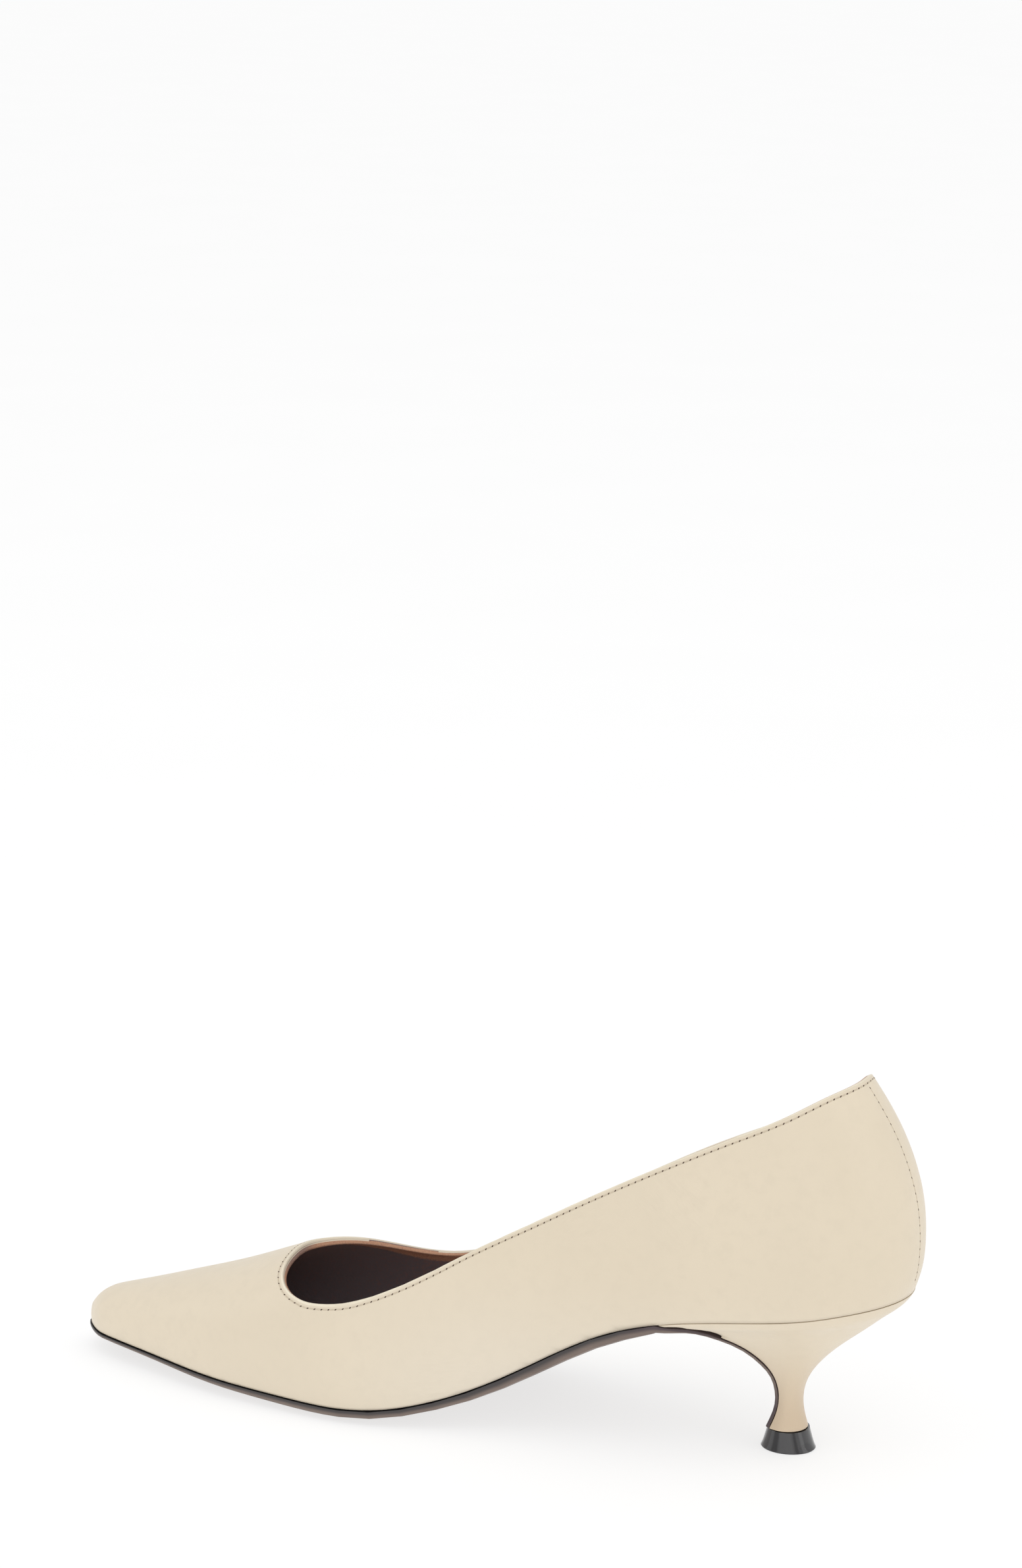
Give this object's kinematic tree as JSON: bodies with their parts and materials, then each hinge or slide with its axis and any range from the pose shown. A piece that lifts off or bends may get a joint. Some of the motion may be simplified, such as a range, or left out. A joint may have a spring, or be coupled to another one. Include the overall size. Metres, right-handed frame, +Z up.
{
  "type": "kitten heel pump",
  "caption": "Right-foot slip-on pump with a pointed toe, a low-cut topline, a thin sole and a low slender heel on a hard top piece.",
  "frame": {"origin": "on the floor, under the middle of the shoe's box", "axes": "+Z up, -X from the heel to the toe, -Y towards the inner side of the foot"},
  "size_m": [0.263, 0.074, 0.114],
  "materials": {
    "upper": "smooth cream leather outside, dark brown suede lining inside",
    "insole": "dark brown suede sock",
    "outsole": "dark painted edge, brown underside",
    "heel": "covered in smooth cream leather",
    "top_piece": "glossy dark grey"
  },
  "bodies": {
    "root": {"upper": "upper", "insole": "insole", "outsole": "outsole", "heel": "heel", "top_piece": "top_piece"}
  },
  "joints": []
}
